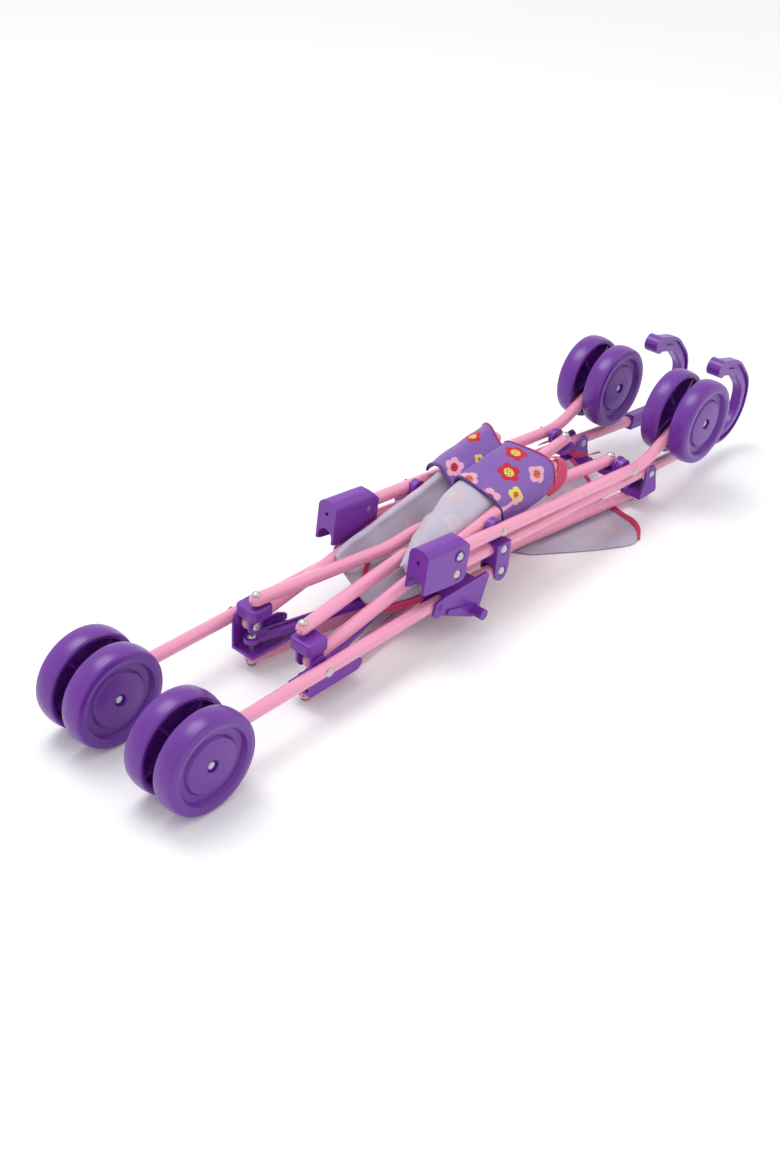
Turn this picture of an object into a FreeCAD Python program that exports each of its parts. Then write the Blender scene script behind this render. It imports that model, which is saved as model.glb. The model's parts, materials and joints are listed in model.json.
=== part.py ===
import FreeCAD, Part
import math
import os

from FreeCAD import Placement, Rotation, Vector

# Folding doll stroller, modelled folded flat on its back, in millimetres.
# x runs from the rear wheels to the handles, y across the stroller, z up.
# Near parts lie at -y. Their far twins are mirror images in the plane y = 0.

# Driving dimensions
TUBE_R = 5.0
TUBE_WALL = 1.0
LEG_Y = -44.4            # middle plane of the front and rear legs
WHEEL_R = 36.5
WHEEL_W = 17.0
WHEEL_GAP = 5.6          # from the leg's plane to a wheel's inner face
REAR_HUB = (0.0, 36.5)   # places in the side view are (x, z)
FRONT_HUB = (557.6, 76.5)
LEG_PIVOT = (302.0, 36.5)     # rear leg on the push tube
FOLD_PIVOT = (245.0, 60.0)    # front leg on the push tube
KNUCKLE_PIVOT = (119.0, 36.5)  # seat rail and knuckles on the rear leg
RAIL_PIVOT = (303.0, 69.4)    # seat rail on the front leg
BRACE_PIVOT = (481.0, 52.4)   # seat brace on the front leg
CLIP_PIVOT = (519.0, 34.0)    # back brace on the push tube
TUBE_SLOPE = -0.095      # the push and front tubes fall towards the handles
SPLAY = 0.0304           # the push tubes draw together towards the handles
FRONT_RISE = 14.8        # front tube above the push tube
PUSH_END_X = 620.0
RAIL_Y = -30.0
RAIL_TIP = (388.0, 86.0)
SEAT_BRACE_Y = (22.7, 23.6)   # at the rear and the front end
SEAT_BRACE_Z = (59.4, 53.7)
BACK_BRACE_Y = 27.2
BACK_BRACE_Z = 7.2
BACK_BRACE_TAIL = 14.0   # past its rivet
CROSSING = 10.6          # from one tube's middle to the other's, where they cross
HANDLE_Y = -32.6
SHEET = 1.9              # wall of the moulded cheeks
GAP = 0.3                # between pieces that slide past each other
RUN = 0.05               # between a rivet and the hole that turns on it
RIVET_R = 2.0
HEAD_R = 3.4
HEAD_H = 1.8
AXLE_R = 2.5
BIG = 80.0
FRONT_BEND = 70.0        # bend of the front tube
BRACE_BEND = 60.0        # bends of the braces
RECESS = 0.5             # depth of the ring round a rivet head
GRIP_RIVET = (302.6, 55.4)     # leg bracket on the push tube
TOP_RIVET = (-0.5, 15.2)        # front tube in its fold bracket, along and above the push tube
LEVER_PIVOT = (232.0, 36.5)    # lock lever on the rear leg
BRACKET_Y = (-53.2, -35.6)     # outer faces of the fold bracket
BRACKET_SLOT = (-50.9, -37.6)
KNUCKLE_FLOOR = (12.5, 15.9)   # heights of the lower knuckle's floor
ARM_Z = ((16.3, 20.9), (21.3, 25.9))   # near and far spreader arm
ARM_LENGTH = 114.5
CLIP_HALF = 5.6          # half the clip's slot


# Basic solids

def box(x, y, z):
    """Box between the low and high values of each pair."""
    return Part.makeBox(x[1] - x[0], y[1] - y[0], z[1] - z[0], Vector(x[0], y[0], z[0]))


def rod(start, end, radius):
    """Round rod between two points."""
    along = end - start
    return Part.makeCylinder(radius, along.Length, start, along)


def across(place, y, radius):
    """Round rod across the stroller at (x, z), between two values of y."""
    return Part.makeCylinder(radius, y[1] - y[0], Vector(place[0], y[0], place[1]), Vector(0, 1, 0))


def plate(outline, y):
    """Flat plate with a side-view outline of (x, z) points, between two values of y."""
    points = [Vector(x, y[0], z) for x, z in outline]
    face = Part.Face(Part.makePolygon(points + points[:1]))
    return face.extrude(Vector(0, y[1] - y[0], 0))


def joined(first, *others):
    """One solid from several that touch."""
    return first.fuse(list(others)).removeSplitter()


def mirrored(shape):
    """The far twin of a near piece."""
    return shape.mirror(Vector(0, 0, 0), Vector(0, 1, 0))


def rounded(shape, radius, test):
    """Fillet of the edges whose middle passes a test."""
    edges = [edge for edge in shape.Edges if test(edge.CenterOfMass)]
    return shape.makeFillet(radius, edges)


# Tubes

def path(points, bend):
    """Straight runs joined by tangent arcs of one radius."""
    edges = []
    start = points[0]
    for before, corner, after in zip(points, points[1:], points[2:]):
        back = (before - corner).normalize()
        on = (after - corner).normalize()
        half = back.getAngle(on) / 2
        setback = bend / math.tan(half)
        entry = corner + back * setback
        leave = corner + on * setback
        middle = (back + on).normalize()
        top = corner + middle * (bend / math.sin(half) - bend)
        edges.append(Part.LineSegment(start, entry).toShape())
        edges.append(Part.Arc(entry, top, leave).toShape())
        start = leave
    edges.append(Part.LineSegment(start, points[-1]).toShape())
    return Part.Wire(edges)


def swept(points, bend, radius):
    """Round bar along a route of points."""
    if len(points) == 2:
        return rod(points[0], points[1], radius)
    direction = points[1] - points[0]
    circle = Part.Wire(Part.Circle(points[0], direction, radius).toShape())
    return path(points, bend).makePipe(Part.Face(circle))


def capsule(points, bend=0.0):
    """Outer shape of a tube with domed ends."""
    bar = swept(points, bend, TUBE_R)
    ends = [Part.makeSphere(TUBE_R, point) for point in (points[0], points[-1])]
    return joined(bar, *ends)


def tube(points, bend=0.0):
    """Tube with domed end plugs, each with two small moulding holes."""
    plug = 4.0
    hole_r = 0.7
    hole_off = 1.7
    first = (points[1] - points[0]).normalize()
    last = (points[-2] - points[-1]).normalize()
    inner = [points[0] + first * plug] + points[1:-1] + [points[-1] + last * plug]
    cuts = [swept(inner, bend, TUBE_R - TUBE_WALL)]
    for end, inward in ((points[0], first), (points[-1], last)):
        side = inward.cross(Vector(0, 0, 1)).normalize() * hole_off
        for off in (side, side * -1):
            outside = end + off - inward * (2 * TUBE_R)
            cuts.append(rod(outside, end + off + inward * (plug + 1), hole_r))
    return capsule(points, bend).cut(cuts)


def front_z(x):
    """Height of the front tube's straight stretch at rest."""
    return FOLD_PIVOT[1] + FRONT_RISE + TUBE_SLOPE * (x - FOLD_PIVOT[0])


def push_point(x):
    """Point on the near push tube's middle line."""
    run = x - FOLD_PIVOT[0]
    return Vector(x, LEG_Y + SPLAY * run, FOLD_PIVOT[1] + TUBE_SLOPE * run)


def push_route():
    return [push_point(FOLD_PIVOT[0]), push_point(PUSH_END_X)]


def front_route():
    start_x = FOLD_PIVOT[0] - 27
    knee = (499.5, front_z(499.5))
    places = [(start_x, front_z(start_x)), knee, FRONT_HUB]
    return [Vector(x, LEG_Y, z) for x, z in places]


def rear_route():
    return [Vector(x, LEG_Y, z) for x, z in (REAR_HUB, LEG_PIVOT)]


def rail_route():
    return [Vector(x, RAIL_Y, z) for x, z in (KNUCKLE_PIVOT, RAIL_TIP)]


# Fasteners

def dome(point, direction):
    """Low domed rivet head on a surface, pointing along a direction."""
    ball_r = (HEAD_R ** 2 + HEAD_H ** 2) / (2 * HEAD_H)
    base = point - direction * (ball_r - HEAD_H)
    ball = Part.makeSphere(ball_r, base)
    keep = Part.makeCylinder(HEAD_R + 1, HEAD_H + 1, point, direction)
    return ball.common(keep)


def rivet(start, end, heads=(True, True)):
    """Rivet with its shank from start to end and a head beyond either."""
    pin = rod(start, end, RIVET_R)
    along = (end - start).normalize()
    parts = [pin]
    if heads[0]:
        parts.append(dome(start, along * -1))
    if heads[1]:
        parts.append(dome(end, along))
    return joined(*parts) if len(parts) > 1 else pin


def cross_rivet(place, y, heads=(True, True)):
    """Rivet across the stroller at (x, z), between two values of y."""
    ends = [Vector(place[0], value, place[1]) for value in y]
    return rivet(ends[0], ends[1], heads)


def upright_rivet(x, y, z, heads=(True, True)):
    """Rivet standing at (x, y), between two heights."""
    return rivet(Vector(x, y, z[0]), Vector(x, y, z[1]), heads)


def side_hole(place, running=True):
    """Hole across the near side for a rivet at (x, z)."""
    return across(place, (LEG_Y - 30, 0), RIVET_R + (RUN if running else 0))


def upright_hole(x, y, running=True):
    """Upright hole for a rivet at (x, y)."""
    radius = RIVET_R + (RUN if running else 0)
    return Part.makeCylinder(radius, 2 * BIG, Vector(x, y, -BIG), Vector(0, 0, 1))


# Push tube and its fittings

def push_tube():
    cuts = [side_hole(FOLD_PIVOT), side_hole(GRIP_RIVET, False), side_hole(CLIP_PIVOT, False)]
    return tube(push_route()).cut(cuts)


def push_rivets():
    half = TUBE_R + GAP + SHEET
    grip = cross_rivet(GRIP_RIVET, (LEG_Y - half + RECESS, LEG_Y + half))
    clip_y = push_point(CLIP_PIVOT[0]).y
    clip = cross_rivet(CLIP_PIVOT, (clip_y - CLIP_HALF - SHEET - GAP, clip_y + CLIP_HALF + SHEET + GAP))
    return Part.makeCompound([grip, clip])


def ringed(shape, place, outside):
    """A shallow round recess for a rivet head, in a cheek whose outer face is at y = outside."""
    return shape.cut(across(place, (outside - 1, outside + RECESS), HEAD_R + 0.9))


def leg_bracket():
    """Clevis over the push tube that holds the rear leg's pivot below it."""
    x, z = LEG_PIVOT
    outline = [(x - 8, z + 1), (x - 7, z - 4), (x - 4, z - 7.2), (x, z - 8.2), (x + 4, z - 7.2),
               (x + 7, z - 4), (x + 8, z + 1), (x + 8, z + 24.5), (x - 8, z + 24.5)]
    outer = LEG_Y - TUBE_R - GAP
    inner = LEG_Y + TUBE_R + GAP
    body = plate(outline, (outer - SHEET, inner + SHEET))
    slot = box((x - BIG, x), (outer, inner), (z - BIG, z + 5.9))
    turn = across(LEG_PIVOT, (outer, inner), TUBE_R + 0.6)
    below = box((x, x + TUBE_R + 0.6), (outer, inner), (z - BIG, z))
    above = box((x, x + TUBE_R + 0.6), (outer, inner), (z, z + 5.9))
    holes = [side_hole(LEG_PIVOT), side_hole(GRIP_RIVET, False)]
    body = body.cut([slot, turn, below, above, capsule(push_route())] + holes)
    for place in (LEG_PIVOT, GRIP_RIVET):
        body = ringed(body, place, outer - SHEET)
    return body


def handle():
    """Curved hand grip with side channels, a socket for the push tube and a knob at its tip."""
    start = push_point(598)
    places = [(start.x, start.z), (675.5, 19), (677.5, 65), (653.5, 89), (622.5, 97)]
    route = [Vector(x, HANDLE_Y, z) for x, z in places]
    bend = 28.0
    half = 5.0
    deep = 7.0
    direction = (route[1] - route[0]).normalize()
    last_run = (route[3] - route[4]).normalize()
    up = Vector(0, -1, 0).cross(direction)
    side = Vector(0, half, 0)

    def section(centre, wide, tall):
        """Four-sided section across the grip."""
        corners = [centre - wide - tall, centre + wide - tall, centre + wide + tall, centre - wide + tall]
        return Part.Face(Part.makePolygon(corners + corners[:1]))

    def runs_along(edge):
        """Whether a grip's edge runs along it, rather than round one of its ends."""
        spot = edge.CenterOfMass
        past = min((spot - route[0]).Length, (spot - route[-1]).Length)
        return abs(spot.y - HANDLE_Y) > half - 0.1 and past > deep

    grip = path(route, bend).makePipe(section(route[0], side, up * deep))
    grip = grip.makeFillet(1.6, [edge for edge in grip.Edges if runs_along(edge)])
    socket = rod(push_point(597), push_point(641), 6.8)
    knob = across(places[-1], (HANDLE_Y - 6.5, HANDLE_Y + 6.5), 7.8)
    body = joined(grip, socket, knob)
    channel_route = [route[0] + direction * 47.9, *route[1:4], route[4] + last_run * 13]
    channel_line = path(channel_route, bend)
    cuts = [capsule(push_route())]
    for sign in (-1, 1):
        centre = channel_route[0] + side * sign - up * 1.6
        cuts.append(channel_line.makePipe(section(centre, side * 0.45, up * 2.4)))
    return body.cut(cuts)


# Front leg

def front_tube():
    holes = [side_hole(place, False) for place in (RAIL_PIVOT, BRACE_PIVOT)]
    top_rivet = fold_place(*TOP_RIVET)
    axle = across(FRONT_HUB, (LEG_Y - 10, LEG_Y + 10), AXLE_R + RUN)
    return tube(front_route(), FRONT_BEND).cut(holes + [side_hole(top_rivet, False), axle])


def fold_place(along, above):
    """Side-view place of a point given along and above the push tube at the fold pivot."""
    tilt = math.atan(TUBE_SLOPE)
    x = FOLD_PIVOT[0] + along * math.cos(tilt) - above * math.sin(tilt)
    z = FOLD_PIVOT[1] + along * math.sin(tilt) + above * math.cos(tilt)
    return (x, z)


def fold_bracket():
    """Round-topped channel on the front tube's end that folds over the push tube."""
    outline = [(-37, -4.5), (-37, 28.5), (3, 28), (10, 21), (10, -4), (7, -7), (-4, -7.5), (-33, -5.5)]
    body = plate([fold_place(*point) for point in outline], BRACKET_Y)
    top = [edge for edge in body.Edges if edge.Length > 38 and edge.CenterOfMass.z > FOLD_PIVOT[1] + 20]
    body = body.makeFillet(6.5, top)
    middle = (BRACKET_SLOT[0] + BRACKET_SLOT[1]) / 2
    half = (BRACKET_SLOT[1] - BRACKET_SLOT[0]) / 2
    drop = 0.8
    low = [fold_place(*point) for point in ((-60, -20), (30, -20), (30, -drop), (-60, -drop))]
    slot = plate(low, BRACKET_SLOT)
    left, right = fold_place(-60, -drop), fold_place(30, -drop)
    arch = rod(Vector(left[0], middle, left[1]), Vector(right[0], middle, right[1]), half)
    upper = fold_place(*TOP_RIVET)
    boss = across(upper, (BRACKET_Y[0] - 0.8, BRACKET_Y[0]), HEAD_R + 1.7)
    relief = rod(in_leg_plane(fold_place(-39, 18)), in_leg_plane(fold_place(-35, 18)), 1.6)
    holes = [side_hole(FOLD_PIVOT, False), side_hole(upper, False)]
    body = joined(body, boss).cut([slot, arch, capsule(front_route(), FRONT_BEND), relief] + holes)
    body = ringed(body, FOLD_PIVOT, BRACKET_Y[0])
    return ringed(body, upper, BRACKET_Y[0] - 0.8)


def in_leg_plane(place):
    """Point in the legs' middle plane at (x, z)."""
    return Vector(place[0], LEG_Y, place[1])


def rail_spacer():
    """Round spacer that carries the seat rail on the front tube."""
    disc = across(RAIL_PIVOT, (LEG_Y + TUBE_R - 2.0, RAIL_Y - TUBE_R - 0.4), 7.0)
    return disc.cut([capsule(front_route(), FRONT_BEND), side_hole(RAIL_PIVOT, False)])


def front_rivets():
    outside = BRACKET_Y[0] + RECESS
    tube_side = LEG_Y - TUBE_R
    return Part.makeCompound([
        cross_rivet(FOLD_PIVOT, (outside, BRACKET_Y[1]), (True, False)),
        cross_rivet(fold_place(*TOP_RIVET), (outside - 0.8, BRACKET_Y[1]), (True, False)),
        cross_rivet(RAIL_PIVOT, (tube_side, RAIL_Y - TUBE_R - 0.4), (True, False)),
        cross_rivet(BRACE_PIVOT, (tube_side, LEG_Y + TUBE_R), (True, False)),
    ])


# Rear leg

def rear_tube():
    holes = [side_hole(place, False) for place in (LEG_PIVOT, KNUCKLE_PIVOT)]
    lever_hole = side_hole(LEVER_PIVOT)
    axle = across(REAR_HUB, (LEG_Y - 10, LEG_Y + 10), AXLE_R + RUN)
    return tube(rear_route()).cut(holes + [lever_hole, axle])


def rear_rivets():
    tube_side = LEG_Y - TUBE_R
    bracket_half = TUBE_R + GAP + SHEET
    return Part.makeCompound([
        cross_rivet(LEG_PIVOT, (LEG_Y - bracket_half + RECESS - 0.1, LEG_Y + bracket_half + 0.1)),
        cross_rivet(KNUCKLE_PIVOT, (tube_side, -22.3)),
    ])


def lock_lever():
    """Foot lever that rides on the rear tube and carries a round pedal."""
    x, z = LEVER_PIVOT
    outer = LEG_Y - TUBE_R - GAP
    inner = LEG_Y + TUBE_R + GAP
    cheek = [(x - 8, z - 3), (x - 5, z + 6), (x + 4, z + 7.3), (x + 52, z + 7.3), (x + 55, z + 4),
             (x + 45, z - 25), (x + 39, z - 27), (x + 2, z - 8), (x - 6, z - 7)]
    short = [(x - 8, z - 3), (x - 5, z + 6), (x + 4, z + 7.3), (x + 40, z + 7.3), (x + 36, z - 7),
             (x - 6, z - 7)]
    sides = [plate(cheek, (outer - SHEET, outer)), plate(short, (inner, inner + SHEET))]
    web = box((x + 5, x + 40), (outer - 0.1, inner + 0.1), (z + TUBE_R + 0.4, z + 7.3))
    pedal = across((x + 39, z - 20), (outer - 12.5, outer - 0.5), 4.3)
    rib_outline = [(x + 8, z - 5.5), (x + 42, z - 16), (x + 44, z - 22), (x + 38, z - 24), (x + 6, z - 8.5)]
    rib = plate(rib_outline, (outer - SHEET - 1.4, outer - 0.2))
    return joined(sides[0], sides[1], web, pedal, rib).cut([side_hole(LEVER_PIVOT, False)])


def lever_rivet():
    half = TUBE_R + GAP + SHEET
    return cross_rivet(LEVER_PIVOT, (LEG_Y - half, LEG_Y + half))


# Seat rails and knuckles

def rail_tube():
    return tube(rail_route()).cut([side_hole(KNUCKLE_PIVOT)])


def upper_knuckle():
    """Saddle over the seat rail's end, with a pad for the seat brace."""
    x, z = KNUCKLE_PIVOT
    block = box((x - 7.5, x + 12), (-37.1, -16.5), (z + 8.3, z + 17.2))
    block = rounded(block, 4.0, lambda spot: abs(spot.z - z - 12.75) < 0.01)
    block = rounded(block, 2.0, lambda spot: abs(spot.z - z - 17.2) < 0.01)
    parts = [block]
    for low, high in ((-37.1, -35.3), (-24.7, -22.7)):
        parts.append(across(KNUCKLE_PIVOT, (low, high), 6.2))
        parts.append(box((x - 6.2, x + 6.2), (low, high), (z, z + 9)))
    seat_rear = -SEAT_BRACE_Y[0]
    pad_hole = Part.makeCylinder(RIVET_R + RUN, 30, Vector(x, seat_rear, z + 8.3), Vector(0, 0, 1))
    return joined(*parts).cut([side_hole(KNUCKLE_PIVOT), pad_hole])


def lower_knuckle():
    """Tray under the seat rail's end, which holds the back brace and the spreader arm."""
    x, z = KNUCKLE_PIVOT
    low, high = KNUCKLE_FLOOR
    outline = [(x - 8, low), (x + 40, low), (x + 44, low + 4), (x + 44, low + 7), (x + 37, low + 10.5),
               (x + 14, low + 12.5), (x + 7.6, z + 2), (x + 5.4, z + 5.4), (x, z + 7.6), (x - 5.4, z + 5.4),
               (x - 7.6, z), (x - 8, z - 8)]
    cheek = plate(outline, (-39.1, -37.4))
    floor = box((x - 8, x + 40), (-38, -18), KNUCKLE_FLOOR)
    nose = Part.makeCylinder(10, high - low, Vector(x + 34, -28, low), Vector(0, 0, 1))
    lip = box((x + 24, x + 44), (-38, -36.2), (high - 1, low + 7))
    holes = [side_hole(KNUCKLE_PIVOT), upright_hole(x, -BACK_BRACE_Y)]
    body = joined(cheek, floor, nose, lip)
    body = rounded(body, 1.2, lambda point: abs(point.z - low) < 0.01 and point.y > -37)
    return body.cut(holes)


# Braces

def brace_points(start, end, lift, half=62.0, shoulder=16.0):
    """Route of a brace tube that steps up or down by lift where it crosses the other."""
    middle = (start + end) * 0.5
    along = (end - start).normalize()
    rise = Vector(0, 0, lift)
    return [start, middle - along * half, middle - along * (half - shoulder * 1.6) + rise,
            middle + along * (half - shoulder * 1.6) + rise, middle + along * half, end]


def seat_brace_ends(rear_side):
    """Rear and front end of a seat brace whose rear end is on the side given by its sign."""
    rear = Vector(KNUCKLE_PIVOT[0], rear_side * SEAT_BRACE_Y[0], SEAT_BRACE_Z[0])
    front = Vector(BRACE_PIVOT[0], -rear_side * SEAT_BRACE_Y[1], SEAT_BRACE_Z[1])
    return rear, front


def seat_brace(rear_side, lift):
    rear, front = seat_brace_ends(rear_side)
    cuts = [upright_hole(rear.x, rear.y, False), upright_hole(front.x, front.y, False)]
    middle = (rear + front) * 0.5
    cuts.append(upright_hole(middle.x, 0, rear_side > 0))
    return tube(brace_points(rear, front, lift), BRACE_BEND).cut(cuts)


def seat_brace_rivets_a():
    rear, front = seat_brace_ends(-1)
    middle = (rear + front) * 0.5
    half = CROSSING / 2 + TUBE_R + 0.15
    pad = KNUCKLE_PIVOT[1] + 9.5
    return Part.makeCompound([
        upright_rivet(rear.x, rear.y, (pad, rear.z + TUBE_R), (False, True)),
        upright_rivet(front.x, front.y, (front.z - TUBE_R, front.z + TUBE_R), (False, True)),
        upright_rivet(middle.x, 0, (middle.z - half, middle.z + half)),
    ])


def seat_brace_rivets_b():
    return Part.makeCompound([
        upright_rivet(end.x, end.y, (end.z - TUBE_R, end.z + TUBE_R), (False, True))
        for end in seat_brace_ends(1)
    ])


def brace_knuckle(boss_start):
    """Round boss beside the front tube, with a pad under the seat brace's end."""
    x, z = BRACE_PIVOT
    top = SEAT_BRACE_Z[1] - TUBE_R - GAP
    boss = across(BRACE_PIVOT, (boss_start, -31), 6.8)
    rim = across(BRACE_PIVOT, (-33.4, -31), 7.6)
    pad = box((x - 10, x + 9), (-33, -17), (top - 4.9, top))
    pad = rounded(pad, 4.0, lambda spot: abs(spot.y + 17) < 0.01 and abs(spot.z - top + 2.45) < 0.01)
    over = box((x - 20, x + 20), (-30.9, 0), (top, top + 30))
    dimple = across(BRACE_PIVOT, (boss_start, boss_start + 1.5), 2.6)
    return joined(boss, rim, pad).cut([over, dimple])


def back_brace_ends(rear_side):
    """Rear rivet, front rivet and tail end of a back brace."""
    rear = Vector(KNUCKLE_PIVOT[0], rear_side * BACK_BRACE_Y, BACK_BRACE_Z)
    front = Vector(CLIP_PIVOT[0], -rear_side * BACK_BRACE_Y, BACK_BRACE_Z)
    tail = front + (front - rear).normalize() * BACK_BRACE_TAIL
    return rear, front, tail


def back_brace(rear_side, lift):
    rear, front, tail = back_brace_ends(rear_side)
    points = [rear, tail]
    if lift:
        middle = (rear + front) * 0.5
        along = (front - rear).normalize()
        rise = Vector(0, 0, lift)
        points = [rear, middle - along * 68, middle - along * 30 + rise, middle + along * 30 + rise,
                  middle + along * 68, tail]
    holes = [upright_hole(rear.x, rear.y, rear_side < 0), upright_hole(front.x, front.y, False)]
    holes.append(upright_hole((rear.x + front.x) / 2, 0, rear_side > 0))
    return tube(points, BRACE_BEND).cut(holes)


def back_brace_rivets_a():
    rear, front = back_brace_ends(-1)[:2]
    low = BACK_BRACE_Z - TUBE_R
    return Part.makeCompound([
        upright_rivet(rear.x, rear.y, (low, ARM_Z[0][1] + 0.2)),
        upright_rivet(front.x, front.y, (low, BACK_BRACE_Z + TUBE_R), (True, False)),
        upright_rivet((rear.x + front.x) / 2, 0, (low, BACK_BRACE_Z + CROSSING + TUBE_R)),
    ])


def back_brace_rivets_b():
    span = (BACK_BRACE_Z - TUBE_R, BACK_BRACE_Z + TUBE_R)
    return Part.makeCompound([
        upright_rivet(end.x, end.y, span, (True, False)) for end in back_brace_ends(1)[:2]
    ])


def brace_clip():
    """Clip over the push tube with a pad down to the back brace."""
    x, z = CLIP_PIVOT
    y = push_point(x).y
    outline = [(x - 7, z + 3), (x - 3, z + 7), (x + 3, z + 7), (x + 7, z + 3), (x + 9, z - 8),
               (x + 12, z - 17), (x + 12, z - 21.5), (x - 12, z - 21.5), (x - 12, z - 17), (x - 9, z - 8)]
    body = plate(outline, (y - CLIP_HALF - SHEET, y + CLIP_HALF + SHEET))
    pad = box((x - 12, x + 12), (y, -20.5), (z - 21.5, z - 17.2))
    pad = rounded(pad, 5.0, lambda point: abs(point.y + 20.5) < 0.01 and abs(point.z - z + 19.35) < 0.01)
    slot = box((x - BIG, x + BIG), (y - CLIP_HALF, y + CLIP_HALF), (z - 15.5, z + BIG))
    return joined(body, pad).cut([slot, side_hole(CLIP_PIVOT)])


# Spreader

def arm_end():
    return Vector(KNUCKLE_PIVOT[0] + math.sqrt(ARM_LENGTH ** 2 - BACK_BRACE_Y ** 2), 0, 0)


def spreader_arm(layer):
    """Flat grooved arm from a knuckle to the middle of the spreader, in the lower or upper layer."""
    low = ARM_Z[0][0]
    own = ARM_Z[layer]
    start = Vector(KNUCKLE_PIVOT[0], -BACK_BRACE_Y, low)
    end = arm_end() + Vector(0, 0, low)
    along = (end - start).normalize()
    turn = math.degrees(math.atan2(along.y, along.x))
    bar = box((0, ARM_LENGTH), (-4.6, 4.6), own)
    eyes = [Part.makeCylinder(6.0, own[1] - own[0], Vector(x, 0, own[0]), Vector(0, 0, 1))
            for x in (0, ARM_LENGTH)]
    shape = joined(bar, *eyes)
    groove = box((14, ARM_LENGTH - 12), (-2.4, 2.4), (own[1] - 1.2, own[1] + 1))
    shape = shape.cut(groove)
    shape = rounded(shape, 0.8, lambda point: abs(point.z - own[0]) < 0.01)
    shape.Placement = Placement(Vector(start.x, start.y, 0), Rotation(Vector(0, 0, 1), turn))
    holes = [upright_hole(start.x, start.y), upright_hole(end.x, 0, False)]
    return shape.cut(holes)


def spreader_pin():
    """Middle pin, fixed in the far arm and resting on the near one."""
    end = arm_end()
    return upright_rivet(end.x, 0, (ARM_Z[1][0] - GAP / 2, ARM_Z[1][1]), (False, True))


def spreader_pivot_far():
    heights = (KNUCKLE_FLOOR[0] + 0.3, ARM_Z[1][1] + 0.2)
    return upright_rivet(KNUCKLE_PIVOT[0], BACK_BRACE_Y, heights, (False, True))


# Wheels

def wheel(hub, side):
    """Moulded wheel with a crowned rim, a ringed face and a ribbed hollow back."""
    back = [(AXLE_R, 0), (7, 0), (8, 10.4), (30.4, 10.4), (31.2, 1.2), (32.2, 0), (34.2, 0), (35.4, 0.9)]
    face = [(35.4, 15.0), (34.4, 16.3), (31.0, WHEEL_W), (27.8, 16.5), (26.2, 13.2), (21.2, 12.9),
            (19.6, 14.9), (12.0, 15.5), (5.4, 15.7), (4.4, 15.2), (4.4, 13.2), (AXLE_R, 13.2), (AXLE_R, 0)]
    back_line = [Vector(r, a, 0) for r, a in back]
    face_line = [Vector(r, a, 0) for r, a in face]
    edges = [Part.LineSegment(a, b).toShape() for a, b in zip(back_line, back_line[1:])]
    edges.append(Part.Arc(back_line[-1], Vector(WHEEL_R, 8.0, 0), face_line[0]).toShape())
    edges += [Part.LineSegment(a, b).toShape() for a, b in zip(face_line, face_line[1:])]
    disc = Part.Face(Part.Wire(edges)).revolve(Vector(0, 0, 0), Vector(0, 1, 0), 360)
    ribs = []
    for index in range(5):
        rib = box((6.5, 31), (3.0, 10.8), (-1.0, 1.0))
        rib.rotate(Vector(0, 0, 0), Vector(0, 1, 0), index * 72 + 18)
        ribs.append(rib)
    shape = joined(disc, *ribs)
    if side < 0:
        shape = shape.mirror(Vector(0, 0, 0), Vector(0, 1, 0))
    return shape.translated(Vector(hub[0], LEG_Y + side * WHEEL_GAP, hub[1]))


def axle(hub):
    reach = WHEEL_GAP + 13.9
    return across(hub, (LEG_Y - reach, LEG_Y + reach), AXLE_R)


# Cloth, as plain solids

def seat_cloth():
    """Half of the seat cloth, bunched above its rail."""
    start, tip = rail_route()
    along = (tip - start).normalize()
    up = Vector(0, -1, 0).cross(along)
    centre = Vector(312, 0, start.z + (312 - start.x) * along.z / along.x)
    low = centre + up * (TUBE_R + 0.5)
    high = centre + up * 15
    profile = [low + Vector(0, -35, 0), low + Vector(0, -25, 0), high + Vector(0, -25, 0),
               high + Vector(0, -34, 0)]
    return Part.Face(Part.makePolygon(profile + profile[:1])).extrude(along * 76)


def back_cloth_near():
    """Flap of the back cloth that lies beside the near push tube."""
    profile = [Vector(378, -44.5, 30), Vector(378, -47, 30), Vector(378, -65, 0.4), Vector(378, -60, 0.4)]
    return Part.Face(Part.makePolygon(profile + profile[:1])).extrude(Vector(108, 0, 0))


def back_cloth_far():
    """Back cloth that sags beside the far push tube."""
    return box((395, 505), (3, 30), (24, 30))


# Assembly

def near_pieces():
    """Pieces with a mirrored twin, by name without their side."""
    pieces = {
        "push_tube": push_tube(), "handle": handle(), "leg_bracket": leg_bracket(),
        "push_rivets": push_rivets(), "front_tube": front_tube(), "fold_bracket": fold_bracket(),
        "rail_spacer": rail_spacer(), "front_rivets": front_rivets(), "rear_tube": rear_tube(),
        "rear_rivets": rear_rivets(), "rail_tube": rail_tube(), "seat_cloth": seat_cloth(),
        "upper_knuckle": upper_knuckle(), "lower_knuckle": lower_knuckle(), "brace_clip": brace_clip(),
    }
    lever = lock_lever()
    pieces["lock_lever"] = Part.makeCompound([lever, lever_rivet()])
    for end, hub in (("rear", REAR_HUB), ("front", FRONT_HUB)):
        pieces[end + "_wheel_outer"] = wheel(hub, -1)
        pieces[end + "_wheel_inner"] = wheel(hub, 1)
        pieces[end + "_axle"] = axle(hub)
    return pieces


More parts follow.
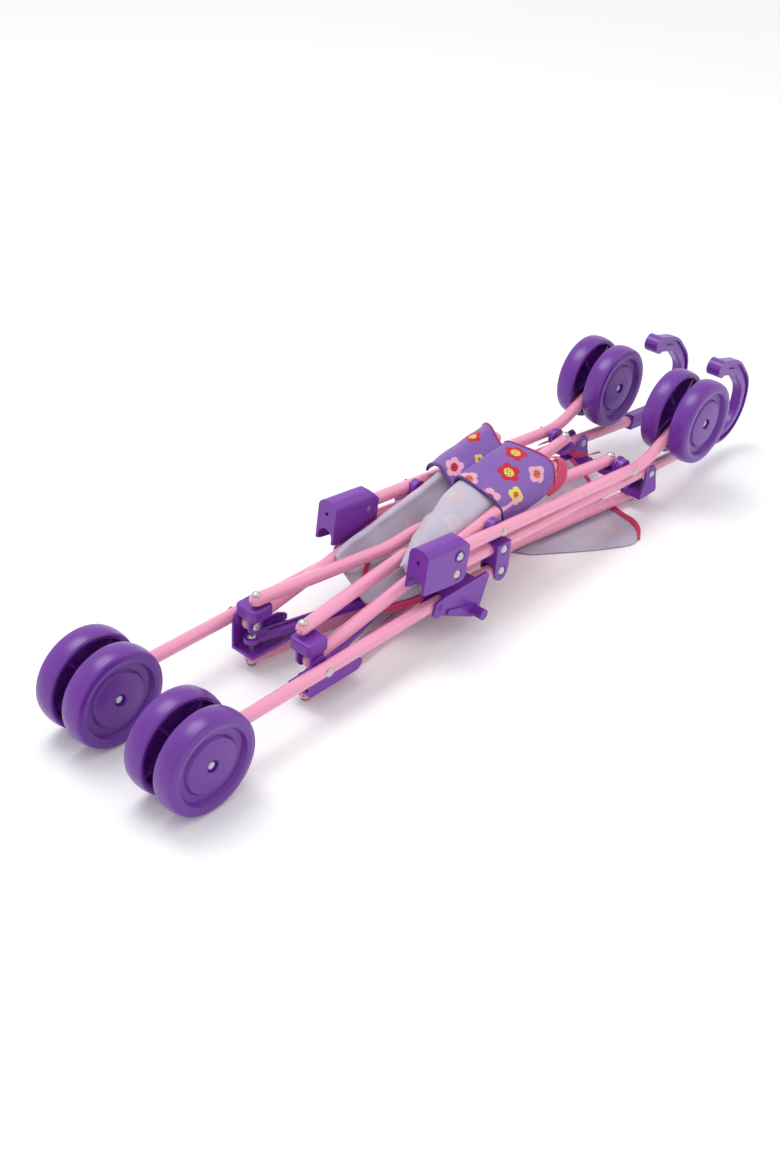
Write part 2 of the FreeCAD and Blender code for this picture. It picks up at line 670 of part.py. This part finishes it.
def lone_pieces():
    """Pieces that cross the middle, and pairs whose two sides differ."""
    half = CROSSING / 2
    return {
        "back_cloth_near": back_cloth_near(),
        "back_cloth_far": back_cloth_far(),
        "seat_brace_a": seat_brace(-1, -half),
        "seat_brace_b": seat_brace(1, half),
        "seat_brace_rivets_a": seat_brace_rivets_a(),
        "seat_brace_rivets_b": seat_brace_rivets_b(),
        "brace_knuckle_near": brace_knuckle(-38.7),
        "brace_knuckle_far": mirrored(brace_knuckle(-36.1)),
        "back_brace_a": back_brace(-1, CROSSING),
        "back_brace_b": back_brace(1, 0),
        "back_brace_rivets_a": back_brace_rivets_a(),
        "back_brace_rivets_b": back_brace_rivets_b(),
        "spreader_arm_near": spreader_arm(0),
        "spreader_arm_far": mirrored(spreader_arm(1)),
        "spreader_pin": spreader_pin(),
        "spreader_pivot_far": spreader_pivot_far(),
    }


def model():
    pieces = {}
    for name, shape in near_pieces().items():
        pieces[name + "_near"] = shape
        pieces[name + "_far"] = mirrored(shape)
    pieces.update(lone_pieces())
    whole = Part.makeCompound(list(pieces.values())).optimalBoundingBox(True, False)
    shift = Vector(-(whole.XMin + whole.XMax) / 2, 0, -whole.ZMin)
    return {name: shape.translated(shift) for name, shape in pieces.items()}, shift


def main():
    os.makedirs("parts", exist_ok=True)
    pieces, shift = model()
    print("shift", round(shift.x, 3), round(shift.z, 3), "pieces", len(pieces))
    for name, shape in pieces.items():
        if not shape.isValid():
            print("not valid:", name)
        shape.exportStep("parts/" + name + ".step")


main()
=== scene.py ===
import json
import math

import bpy
import numpy as np
from mathutils import Matrix, Vector


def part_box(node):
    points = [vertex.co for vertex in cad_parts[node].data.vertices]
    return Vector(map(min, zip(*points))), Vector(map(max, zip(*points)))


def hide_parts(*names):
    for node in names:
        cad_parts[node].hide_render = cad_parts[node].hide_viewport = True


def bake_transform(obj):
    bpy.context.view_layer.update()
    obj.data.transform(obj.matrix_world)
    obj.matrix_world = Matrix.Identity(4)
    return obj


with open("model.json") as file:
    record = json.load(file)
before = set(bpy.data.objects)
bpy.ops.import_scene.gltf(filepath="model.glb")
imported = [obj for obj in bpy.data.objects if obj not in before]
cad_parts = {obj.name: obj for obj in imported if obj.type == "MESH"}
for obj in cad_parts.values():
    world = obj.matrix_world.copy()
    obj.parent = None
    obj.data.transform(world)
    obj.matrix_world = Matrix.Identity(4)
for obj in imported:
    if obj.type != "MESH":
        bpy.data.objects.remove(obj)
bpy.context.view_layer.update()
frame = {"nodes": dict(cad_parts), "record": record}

MM = 0.001
LAYER = 0.0005               # thickness of the cloth
MESH_STEP = 0.65             # spacing of a cloth's vertices, in mm
NOISE_ROUGHNESS = 0.55
THREADS = 420.0              # wave scale of the weave
STITCHES = 90.0              # wave scale of the stitches along a binding
SLING_FREE = 12              # first grid rows of the sling that carry no binding
CAMERA_LENS = 43.415
CAMERA_PLACE = (-432.7, -558.2, 619.7)
CAMERA_AIM = (0.8739, -0.5962, 0.0701)   # bearing from +Y, rise and roll
FLOOR_HALF = 12.0


def middle_of(node):
    low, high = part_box(node)
    return (Vector(low) + Vector(high)) / 2


# The design's own places are in mm from the rear wheels' axle, the middle plane and the floor.
HUB = middle_of("rear_axle_near")


def place(x, y, z):
    return Vector((HUB.x + x * MM, y * MM, z * MM))


# Colours, linear

PINK = (0.76, 0.285, 0.44)
PURPLE = (0.155, 0.024, 0.33)
WHEEL_PURPLE = (0.125, 0.018, 0.275)
SILVER = (0.52, 0.52, 0.51)
MAGENTA = (0.56, 0.018, 0.105)
HEM = (0.07, 0.02, 0.15)
REVERSE = (0.56, 0.52, 0.61)
GROUND = (0.215, 0.105, 0.40)
RED = (0.50, 0.008, 0.035)
YELLOW = (0.74, 0.60, 0.10)
BLUSH = (0.72, 0.36, 0.50)
ORANGE = (0.62, 0.13, 0.03)
DARK = (0.03, 0.02, 0.03)


# Materials

class Nodes:
    """A short way to write a node material."""

    def __init__(self, name):
        self.material = bpy.data.materials.new(name)
        self.material.use_nodes = True
        self.tree = self.material.node_tree
        self.shader = self.tree.nodes["Principled BSDF"]

    def add(self, kind, **settings):
        node = self.tree.nodes.new(kind)
        for key, value in settings.items():
            setattr(node, key, value)
        return node

    def link(self, start, socket, end, target):
        self.tree.links.new(start.outputs[socket], end.inputs[target])

    def set(self, **values):
        for key, value in values.items():
            self.shader.inputs[key.replace("_", " ")].default_value = value

    def noise(self, source, socket, scale, detail=3.0):
        node = self.add("ShaderNodeTexNoise")
        node.inputs["Scale"].default_value = scale
        node.inputs["Detail"].default_value = detail
        node.inputs["Roughness"].default_value = NOISE_ROUGHNESS
        self.link(source, socket, node, "Vector")
        return node

    def ramp(self, source, socket, low, high, first, last):
        node = self.add("ShaderNodeMapRange")
        node.inputs["From Min"].default_value = low
        node.inputs["From Max"].default_value = high
        node.inputs["To Min"].default_value = first
        node.inputs["To Max"].default_value = last
        self.link(source, socket, node, "Value")
        return node

    def blend(self, factor, socket, first, last):
        node = self.add("ShaderNodeMix", data_type="RGBA")
        self.link(factor, socket, node, 0)
        node.inputs[6].default_value = (*first, 1)
        node.inputs[7].default_value = (*last, 1)
        return node

    def bump(self, source, socket, strength, distance):
        node = self.add("ShaderNodeBump")
        node.inputs["Strength"].default_value = strength
        node.inputs["Distance"].default_value = distance
        self.link(source, socket, node, "Height")
        self.link(node, "Normal", self.shader, "Normal")


def shade(colour, amount):
    return tuple(min(1.0, max(0.0, value * amount)) for value in colour)


def surface(name, colour, rough, spread=0.08, grain=900.0, bump=0.05, patch=18.0, **sockets):
    """Hard surface with slow colour change, uneven gloss and a fine skin."""
    build = Nodes(name)
    coords = build.add("ShaderNodeTexCoord")
    slow = build.noise(coords, "Object", patch)
    fine = build.noise(coords, "Object", grain, 2.0)
    mixed = build.blend(slow, "Fac", shade(colour, 1 - spread), shade(colour, 1 + spread))
    build.link(mixed, 2, build.shader, "Base Color")
    gloss = build.ramp(slow, "Fac", 0.3, 0.7, rough * 0.85, rough * 1.2)
    build.link(gloss, "Result", build.shader, "Roughness")
    build.bump(fine, "Fac", bump, 0.0002)
    build.set(**sockets)
    return build.material


def paint():
    return surface("tube_paint", PINK, 0.27, 0.05, 700.0, 0.05, 14.0,
                   Coat_Weight=0.55, Coat_Roughness=0.12, IOR=1.5)


def plastic(name, colour):
    return surface(name, colour, 0.3, 0.10, 1100.0, 0.07, 26.0,
                   IOR=1.5, Subsurface_Weight=0.06, Subsurface_Scale=0.002)


def rivet_metal():
    return surface("rivet_metal", SILVER, 0.3, 0.06, 1600.0, 0.12, 300.0, Metallic=0.85)


def axle_steel():
    return surface("axle_steel", (0.55, 0.55, 0.56), 0.35, 0.08, 2200.0, 0.1, 120.0, Metallic=1.0)


def weave(build):
    """Height of a plain weave, from the cloth's own flat coordinates in metres."""
    flat = build.add("ShaderNodeUVMap")
    threads = []
    for direction in ("X", "Y"):
        wave = build.add("ShaderNodeTexWave", wave_type="BANDS", bands_direction=direction)
        wave.inputs["Scale"].default_value = THREADS
        wave.inputs["Distortion"].default_value = 0.6
        build.link(flat, "UV", wave, "Vector")
        threads.append(wave)
    height = build.add("ShaderNodeMath", operation="MULTIPLY")
    build.link(threads[0], "Fac", height, 0)
    build.link(threads[1], "Fac", height, 1)
    return flat, height


def cloth(name, reverse):
    """Printed or reverse side of the cloth: the print comes from the mesh's own colours."""
    build = Nodes(name)
    flat, height = weave(build)
    printed = build.add("ShaderNodeVertexColor", layer_name="print")
    cloudy = build.noise(flat, "UV", 60.0)
    tint = build.add("ShaderNodeMix", data_type="RGBA", blend_type="MULTIPLY")
    tint.inputs[0].default_value = 1.0
    if reverse:
        pale = build.add("ShaderNodeMix", data_type="RGBA")
        pale.inputs[0].default_value = 0.13
        pale.inputs[6].default_value = (*REVERSE, 1)
        build.link(printed, "Color", pale, 7)
        build.link(pale, 2, tint, 6)
    else:
        build.link(printed, "Color", tint, 6)
    level = build.blend(cloudy, "Fac", (0.88, 0.88, 0.88), (1.0, 1.0, 1.0))
    build.link(level, 2, tint, 7)
    build.link(tint, 2, build.shader, "Base Color")
    build.bump(height, "Value", 0.35, 0.0003)
    build.set(Roughness=0.78, Sheen_Weight=0.25, Sheen_Roughness=0.4, IOR=1.4)
    return build.material


def binding_cloth(name, colour):
    """Folded binding with a line of stitches along its middle."""
    build = Nodes(name)
    flat, height = weave(build)
    split = build.add("ShaderNodeSeparateXYZ")
    build.link(flat, "UV", split, "Vector")
    stitch = build.add("ShaderNodeTexWave", wave_type="BANDS", bands_direction="X")
    stitch.inputs["Scale"].default_value = STITCHES
    build.link(flat, "UV", stitch, "Vector")
    row = build.add("ShaderNodeMath", operation="COMPARE")
    row.inputs[1].default_value = 0.0012
    row.inputs[2].default_value = 0.00035
    build.link(split, "Y", row, 0)
    sewn = build.add("ShaderNodeMath", operation="MULTIPLY")
    build.link(row, "Value", sewn, 0)
    build.link(stitch, "Fac", sewn, 1)
    mixed = build.blend(sewn, "Value", colour, shade(colour, 2.2))
    build.link(mixed, 2, build.shader, "Base Color")
    both = build.add("ShaderNodeMath", operation="ADD")
    build.link(height, "Value", both, 0)
    build.link(sewn, "Value", both, 1)
    build.bump(both, "Value", 0.4, 0.0004)
    build.set(Roughness=0.7, Sheen_Weight=0.3, Sheen_Roughness=0.35)
    return build.material


def dress_nodes():
    """Gives every CAD node whose slot has a hard finish its material."""
    finishes = {
        "tube_paint": paint(), "purple_plastic": plastic("purple_plastic", PURPLE),
        "wheel_plastic": plastic("wheel_plastic", WHEEL_PURPLE), "rivet_metal": rivet_metal(),
        "axle_steel": axle_steel(),
    }
    slots = {entry["node"]: entry["material_slot"] for entry in frame["record"]["subparts"]}
    for node, thing in frame["nodes"].items():
        finish = finishes.get(slots[node])
        if finish:
            thing.data.materials.clear()
            thing.data.materials.append(finish)


# Cloth shapes

def curve_weights(count, steps):
    """Matrix that turns count control values into steps points of a smooth line through them."""
    weights = np.zeros((steps, count))
    for step, at in enumerate(np.linspace(0, count - 1, steps)):
        first = min(int(at), count - 2)
        t = at - first
        basis = (
            -0.5 * t + t ** 2 - 0.5 * t ** 3,
            1 - 2.5 * t ** 2 + 1.5 * t ** 3,
            0.5 * t + 2 * t ** 2 - 1.5 * t ** 3,
            -0.5 * t ** 2 + 0.5 * t ** 3,
        )
        for offset, weight in enumerate(basis):
            index = min(max(first - 1 + offset, 0), count - 1)
            weights[step, index] += weight
    return weights


def grid_normals(grid):
    along = np.gradient(grid, axis=0)
    side = np.gradient(grid, axis=1)
    normals = np.cross(along, side)
    return normals / (np.linalg.norm(normals, axis=2, keepdims=True) + 1e-9)


def smooth_grid(rows, wrinkle=0.5):
    """Dense grid of points, in mm, through rows of control points, with soft wrinkles."""
    control = np.array(rows, float)
    spans = [np.linalg.norm(np.diff(control, axis=axis), axis=2).sum(axis=axis).max() for axis in (0, 1)]
    counts = [int(span / MESH_STEP) + 2 for span in spans]
    along = curve_weights(control.shape[0], counts[0])
    side = curve_weights(control.shape[1], counts[1])
    grid = np.einsum("ui,vj,ijk->uvk", along, side, control)
    u = np.linspace(0, spans[0], counts[0])[:, None]
    v = np.linspace(0, spans[1], counts[1])[None, :]
    ripple = np.sin(u / 9 + 1.3 * np.sin(v / 13)) * np.cos(v / 11 + 0.7 * np.sin(u / 17))
    ripple = ripple + 0.5 * np.sin(u / 4.3 + v / 6.1)
    return grid + grid_normals(grid) * (ripple * wrinkle)[:, :, None]


def flat_coordinates(grid):
    """The cloth's flat position of each grid point, in mm."""
    along = np.linalg.norm(np.diff(grid, axis=0), axis=2).mean(axis=1)
    side = np.linalg.norm(np.diff(grid, axis=1), axis=2).mean(axis=0)
    return np.concatenate([[0], np.cumsum(along)]), np.concatenate([[0], np.cumsum(side)])


def grid_mesh(name, grid, flat_u, flat_v):
    """Mesh of a grid of points in mm, with its flat coordinates as UVs."""
    nu, nv = grid.shape[:2]
    points = [place(*point) for point in grid.reshape(-1, 3)]
    faces = []
    for i in range(nu - 1):
        for j in range(nv - 1):
            corner = i * nv + j
            faces.append((corner, corner + nv, corner + nv + 1, corner + 1))
    mesh = bpy.data.meshes.new(name)
    mesh.from_pydata(points, [], faces)
    layer = mesh.uv_layers.new(name="UVMap")
    for loop in mesh.loops:
        i, j = divmod(loop.vertex_index, nv)
        layer.data[loop.index].uv = (flat_u[i] * MM, flat_v[j] * MM)
    mesh.polygons.foreach_set("use_smooth", [True] * len(mesh.polygons))
    thing = bpy.data.objects.new(name, mesh)
    bpy.context.collection.objects.link(thing)
    return thing


def apply_modifiers(thing):
    bpy.context.view_layer.update()
    shaped = bpy.data.meshes.new_from_object(thing.evaluated_get(bpy.context.evaluated_depsgraph_get()))
    thing.modifiers.clear()
    thing.data = shaped


def thicken(thing, thickness, offset=0.0):
    solid = thing.modifiers.new("thickness", "SOLIDIFY")
    solid.thickness = thickness
    solid.offset = offset
    solid.material_offset = 1 if len(thing.data.materials) > 1 else 0
    solid.material_offset_rim = 0
    apply_modifiers(thing)


# The cloth's print: plain flowers and dots, in the cloth's flat coordinates

def flower(u, v, centre, size, petals, turn, petal, heart):
    """Colours of one flower, and where they show."""
    du, dv = u - centre[0], v - centre[1]
    radius = np.hypot(du, dv)
    angle = np.arctan2(dv, du) + turn
    edge = size * (0.72 + 0.28 * np.abs(np.cos(angle * petals / 2)))
    colour = np.where((radius < size * 0.42)[..., None], heart, petal)
    speck = (np.sin(du * 1.9) * np.sin(dv * 1.9) > 0.45) & (radius < size * 0.36)
    colour = np.where(speck[..., None], DARK, colour)
    return colour, radius < edge


def print_colours(flat_u, flat_v, ground, motifs):
    u, v = np.meshgrid(flat_u, flat_v, indexing="ij")
    colours = np.empty(u.shape + (3,))
    colours[:] = ground
    for centre, size, petals, turn, petal, heart in motifs:
        colour, mask = flower(u, v, centre, size, petals, turn, petal, heart)
        colours = np.where(mask[..., None], colour, colours)
    return colours


def store_print(thing, colours):
    layer = thing.data.color_attributes.new(name="print", type="FLOAT_COLOR", domain="POINT")
    flat = np.concatenate([colours.reshape(-1, 3), np.ones((colours.shape[0] * colours.shape[1], 1))], axis=1)
    layer.data.foreach_set("color", flat.astype(np.float32).ravel())


def cloth_sheet(name, rows, motifs, materials, wrinkle=0.5):
    """A finished sheet of cloth and its grid of points."""
    grid = smooth_grid(rows, wrinkle)
    flat_u, flat_v = flat_coordinates(grid)
    thing = grid_mesh(name, grid, flat_u, flat_v)
    store_print(thing, print_colours(flat_u, flat_v, GROUND, motifs))
    for material in materials:
        thing.data.materials.append(material)
    thicken(thing, LAYER)
    return thing, grid


def binding(name, grid, width, material, lift=0.55):
    """Folded strip over the edge at the grid's first row."""
    inward = max(2, int(width / MESH_STEP))
    normals = grid_normals(grid)
    edge = grid[0] + (grid[0] - grid[1]) * 0.5
    lines = [grid[inward] + normals[inward] * lift]
    for row in range(inward - 1, -1, -1):
        lines.append(grid[row] + normals[row] * lift * 1.15)
    lines.append(edge)
    for row in range(0, inward + 1):
        lines.append(grid[row] - normals[row] * lift * 1.15)
    strip = np.array(lines)
    flat_u, flat_v = flat_coordinates(strip)
    thing = grid_mesh(name, strip.transpose(1, 0, 2), flat_v, flat_u)
    thing.data.materials.append(material)
    thicken(thing, LAYER * 0.8, 1.0)
    return thing


def seat_rows():
    """Printed sleeve: over the near rail, up to a fold in the middle, and over the far rail."""
    return [
        [(380, -38, 73), (380, -36.5, 84.5), (382, -29, 92), (379, -12, 96), (371, 5, 99), (375, 10, 89),
         (379, 20, 92), (382, 31, 98), (389, 42, 92.5), (391, 45, 82)],
        [(352, -37.5, 67), (352, -36, 79), (352, -29, 87), (352, -12, 94), (352, 5, 97), (353, 10, 85),
         (354, 20, 89), (355, 31, 94.5), (357, 42, 89), (357, 45, 80)],
        [(318, -36, 66), (317, -34.5, 74), (316, -28, 81), (313, -12, 86.5), (311, 5, 90), (312, 10, 79.5),
         (314, 18, 83), (317, 29, 87), (320, 40, 83), (321, 43, 76)],
    ]


def tongue_rows():
    """Reverse side of the cloth above the near braces, from the sleeve down to a narrow tip."""
    return [
        [(322, -26, 76), (322, -24, 80), (321, -17, 84), (320, -8, 87), (319, 1, 88.5), (319, 6, 86),
         (320, 8.5, 80), (321, 10, 75)],
        [(300, -25.5, 72), (300, -23.5, 76.5), (299, -17, 81), (298, -9, 84.5), (297, -1, 85.5),
         (297, 3, 83.5), (298, 5, 77), (299, 6.5, 71)],
        [(280, -25, 68.5), (280, -23, 72.5), (279, -18, 76), (278, -11, 78.5), (277, -4, 78.8), (277, 0, 77),
         (278, 2.5, 72.5), (279, 5.5, 69.5)],
        [(264, -24.6, 65.3), (264, -22.6, 69.3), (264, -18.5, 72), (263, -13, 73.8), (263, -8, 73.6),
         (263, -4, 72), (263, -2, 70), (263, 0, 68.6)],
        [(250, -24.2, 62.7), (250, -22.2, 66.6), (250, -19.5, 68.6), (249, -16, 69.8), (249, -12.5, 69.6),
         (249, -9.5, 68.4), (249, -7.5, 67), (249, -5.5, 65.8)],
        [(236, -23.9, 60.3), (236, -21.9, 64), (236, -20.2, 65.6), (235, -18.4, 66.4), (235, -16.6, 66.3),
         (235, -15, 65.6), (235, -13.8, 64.6), (235, -12.6, 63.4)],
        [(222, -23.4, 57.7), (222, -22, 60.8), (221, -21.6, 61.6), (221, -21, 62), (220, -20.4, 62),
         (220, -19.8, 61.8), (220, -19.2, 61.4), (220, -18.6, 60.8)],
    ]


def sling_rows():
    """Reverse side of the cloth from the far rail down under the braces to its bound edge."""
    return [
        [(338, 29, 86), (338, 25, 84), (338, 23.3, 80), (337, 20, 76), (336, 16.5, 72), (335, 14.5, 68),
         (334, 14, 63), (333, 14, 58), (332, 14, 54), (331, 14, 50), (330, 14, 46), (329, 14, 42)],
        [(318, 29, 82.7), (318, 25, 80.7), (318, 23.3, 75), (317, 19, 70), (316, 14.5, 65), (314, 12, 58),
         (313, 10, 51), (312, 6, 45), (311, 0, 43), (310, -8, 42.5), (309, -14, 41), (308, -17, 36)],
        [(290, 28, 76.5), (290, 25, 75), (290, 23.3, 70), (289, 19, 62), (288, 14, 55), (287, 9, 48.5),
         (286, 4, 45), (286, -3, 43.5), (287, -9, 43), (288, -14, 41), (289, -18, 34), (290, -20, 24)],
        [(262, 28, 71.5), (262, 25, 70), (262, 23.3, 65), (260, 19, 56.5), (258, 14, 50), (257, 9, 47),
         (256, 3, 45.5), (256, -3, 44.5), (256, -9, 44), (256, -14.5, 41.5), (256, -19, 33),
         (256, -21, 20)],
        [(238, 28, 67), (238, 25, 65.8), (238, 23.3, 61), (236, 19.5, 54), (235, 15, 49.5),
         (234, 9.5, 47.5), (233, 4, 46.5), (232, -2, 46), (231, -8, 45.3), (230, -12, 41),
         (229, -15.5, 32.5), (228, -17.5, 20)],
        [(214, 28, 63), (214, 25, 61.6), (214, 23.3, 57), (213, 20.5, 51), (212, 17, 48.6), (211, 13, 47.5),
         (210, 9, 47), (210, 5, 46.2), (210, 1, 44), (210, -4, 39), (211, -8, 32), (212, -11, 23)],
        [(202, 26.5, 59), (201, 24.5, 57.5), (200, 22.6, 54.5), (199, 20, 51.5), (198, 17.5, 50),
         (198, 14.5, 49), (198, 11.5, 48), (198, 9, 46), (199, 7, 43), (200, 4, 39), (202, 0, 33),
         (205, -4, 27)],
    ]


def tab_rows():
    """Bound corner that hangs beside the near seat rail's tip."""
    return [
        [(384, -27, 93.5), (395, -28, 90), (398.5, -30, 83)],
        [(386, -34, 91.5), (397, -35, 85), (399, -35.4, 76)],
        [(380, -37.4, 79), (387, -37.4, 73), (390, -36.8, 68.5)],
        [(367, -37.8, 72.5), (371, -37.8, 69), (374, -37.4, 66.5)],
    ]


def back_rows():
    """Back cloth: its flap on the floor beside the near push tube, then up to the far one."""
    return [
        [(471, -70, 0.7), (484, -61, 1.8), (491, -50, 2.4), (494, -38, 2.0), (498, -27, 1.0), (499, -14, 1.0),
         (501, 6, 14.5), (502, 27, 25.5)],
        [(458, -70, 0.7), (467, -60, 2.0), (472, -49, 1.6), (475, -37, 1.2), (478, -26, 0.9), (481, -13, 0.9),
         (486, 6, 14.5), (488, 28, 26.5)],
        [(441, -61.5, 0.7), (446, -53, 1.8), (449, -43, 2.4), (450, -33, 1.3), (451, -23, 0.9),
         (452, -11, 0.9), (455, 8, 14.5), (456, 29, 28)],
        [(424, -51, 0.7), (425, -44, 1.4), (425, -36, 1.8), (424, -28, 1.2), (424, -20, 0.9), (424, -8, 0.9),
         (424, 8, 15.5), (424, 30, 30)],
        [(403, -36, 0.7), (402, -30, 1.2), (400, -25, 1.2), (399, -19, 0.9), (398, -13, 0.9), (398, -5, 1.2),
         (398, 8, 16.5), (398, 30, 32)],
        [(384, -22, 0.7), (382, -19, 0.9), (380, -16, 0.9), (378, -13, 0.9), (377, -11, 0.9), (376, -8, 1.2),
         (377, 4, 14.5), (380, 24, 24)],
    ]


def seam_rows():
    """Narrow bound seam across the sling's rear end."""
    middle = [(224, 14, 50.2), (217, 9, 49.2), (210, 4, 47.8), (204, 0, 44)]
    return [[(x + side * 1.2, y - side * 1.2, z) for x, y, z in middle] for side in (-1, 0, 1)]


def loop_rows():
    """Bound edge of the back cloth where it loops over the far push tube."""
    middle = [(517, 13, 31), (508, 10, 36), (495, 11, 37), (489, 20, 40), (487, 30, 45), (485, 39, 45.5),
              (483, 47, 39)]
    return [[(x + side * 3, y - side * 3, z + side * 1.5) for x, y, z in middle] for side in (-1, 0, 1)]


SEAT_MOTIFS = [
    ((34, 34), 9.5, 5, 0.3, RED, YELLOW),
    ((14, 44), 9.0, 5, 0.9, RED, YELLOW),
    ((16, 20), 7.5, 4, 0.2, BLUSH, ORANGE),
    ((44, 16), 7.5, 4, 0.8, YELLOW, ORANGE),
    ((66, 28), 10.0, 6, 0.5, BLUSH, RED),
    ((62, 50), 7.5, 4, 0.0, BLUSH, ORANGE),
    ((10, 66), 6.5, 4, 0.4, BLUSH, YELLOW),
    ((30, 76), 5.0, 5, 0.0, YELLOW, ORANGE),
    ((54, 84), 9.0, 5, 0.2, BLUSH, RED),
    ((20, 96), 8.0, 5, 0.5, RED, YELLOW),
    ((100, 30), 10.0, 5, 0.1, RED, YELLOW),
    ((124, 62), 9.0, 5, 0.7, BLUSH, RED),
]
TONGUE_MOTIFS = [
    ((24, 22), 11.0, 5, 0.3, RED, YELLOW),
    ((60, 26), 9.0, 5, 0.0, RED, ORANGE),
    ((44, 8), 7.0, 4, 0.5, BLUSH, ORANGE),
]
SLING_MOTIFS = [
    ((70, 18), 9.0, 5, 0.2, RED, YELLOW),
    ((110, 40), 8.0, 5, 0.6, RED, ORANGE),
    ((84, 60), 9.0, 4, 0.1, YELLOW, RED),
    ((40, 50), 9.0, 5, 0.4, RED, YELLOW),
]
BACK_MOTIFS = [
    ((26, 22), 12.0, 6, 0.0, RED, YELLOW),
    ((62, 16), 8.0, 4, 0.4, BLUSH, ORANGE),
    ((70, 60), 10.0, 5, 0.2, RED, YELLOW),
    ((30, 64), 8.0, 4, 0.0, YELLOW, ORANGE),
]


def bound(piece):
    """Bakes a soft piece's placement into its mesh."""
    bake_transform(piece)


def dress_cloth():
    outside = cloth("cloth_print", False)
    reverse = cloth("cloth_reverse", True)
    magenta = binding_cloth("binding_magenta", MAGENTA)
    purple = binding_cloth("binding_purple", HEM)

    seat, grid = cloth_sheet("seat_sheet", seat_rows(), SEAT_MOTIFS, [reverse, outside])
    seat_edge = binding("seat_binding", grid, 3.0, magenta)
    seat_hem = binding("seat_hem", grid[::-1], 2.6, purple)
    tongue = cloth_sheet("tongue_sheet", tongue_rows(), TONGUE_MOTIFS, [outside, reverse], 0.7)[0]
    sling, grid = cloth_sheet("sling_sheet", sling_rows(), SLING_MOTIFS, [reverse, outside], 0.6)
    lower = grid[SLING_FREE:, ::-1].transpose(1, 0, 2)
    sling_edge = binding("sling_binding", lower, 4.5, magenta)
    seam = cloth_sheet("sling_seam", seam_rows(), [], [magenta], 0.1)[0]
    tab = cloth_sheet("seat_tab", tab_rows(), [], [magenta], 0.2)[0]
    flap, grid = cloth_sheet("back_sheet", back_rows(), BACK_MOTIFS, [outside, reverse], 0.2)
    flap_edge = binding("back_binding", grid, 11.0, magenta, 0.45)
    loop = cloth_sheet("back_loop", loop_rows(), [], [magenta], 0.3)[0]

    for piece in (seat, seat_edge, seat_hem, tab, tongue, sling, sling_edge, seam):
        bound(piece)
    for piece in (flap, flap_edge, loop):
        bound(piece)
    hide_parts("seat_cloth_near", "seat_cloth_far")
    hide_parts("back_cloth_near", "back_cloth_far")


# Stage

def aim(eye, yaw, pitch, roll):
    """Camera matrix that looks along a bearing from +Y, a rise and a roll, all in radians."""
    forward = Vector((math.cos(pitch) * math.sin(yaw), math.cos(pitch) * math.cos(yaw), math.sin(pitch)))
    right = forward.cross(Vector((0, 0, 1))).normalized()
    up = right.cross(forward)
    tilted = right * math.cos(roll) + up * math.sin(roll)
    top = up * math.cos(roll) - right * math.sin(roll)
    turn = Matrix((tilted, top, -forward)).transposed()
    return Matrix.Translation(eye) @ turn.to_4x4()


def camera():
    data = bpy.data.cameras.new("camera")
    data.sensor_fit = "VERTICAL"
    data.sensor_height = 36.0
    data.lens = CAMERA_LENS
    data.clip_start = 0.02
    thing = bpy.data.objects.new("camera", data)
    bpy.context.collection.objects.link(thing)
    thing.matrix_world = aim(place(*CAMERA_PLACE), *CAMERA_AIM)
    bpy.context.scene.camera = thing


def floor():
    mesh = bpy.data.meshes.new("floor")
    corners = [(-FLOOR_HALF, -FLOOR_HALF, 0), (FLOOR_HALF, -FLOOR_HALF, 0),
               (FLOOR_HALF, FLOOR_HALF, 0), (-FLOOR_HALF, FLOOR_HALF, 0)]
    mesh.from_pydata(corners, [], [(0, 1, 2, 3)])
    thing = bpy.data.objects.new("floor", mesh)
    bpy.context.collection.objects.link(thing)
    build = Nodes("floor")
    coords = build.add("ShaderNodeTexCoord")
    grain = build.noise(coords, "Object", 3.0)
    mixed = build.blend(grain, "Fac", (0.93, 0.93, 0.93), (0.95, 0.95, 0.95))
    build.link(mixed, 2, build.shader, "Base Color")
    build.set(Roughness=0.75, Specular_IOR_Level=0.2)
    mesh.materials.append(build.material)


def light(name, where, target, size, power):
    data = bpy.data.lights.new(name, "AREA")
    data.shape = "DISK"
    data.size = size
    data.energy = power
    thing = bpy.data.objects.new(name, data)
    bpy.context.collection.objects.link(thing)
    direction = Vector(target) - Vector(where)
    thing.location = where
    thing.rotation_euler = direction.to_track_quat("-Z", "Y").to_euler()


def studio():
    world = bpy.data.worlds.new("studio")
    world.use_nodes = True
    world.node_tree.nodes["Background"].inputs["Color"].default_value = (1, 1, 1, 1)
    world.node_tree.nodes["Background"].inputs["Strength"].default_value = 0.95
    bpy.context.scene.world = world
    bpy.context.scene.view_settings.view_transform = "Standard"
    light("key", (-0.2, 0.5, 1.5), (0, 0, 0), 0.9, 10.0)
    light("fill", (0.9, -0.9, 0.9), (0, 0, 0), 1.2, 1.5)


camera()
floor()
studio()
dress_nodes()
dress_cloth()
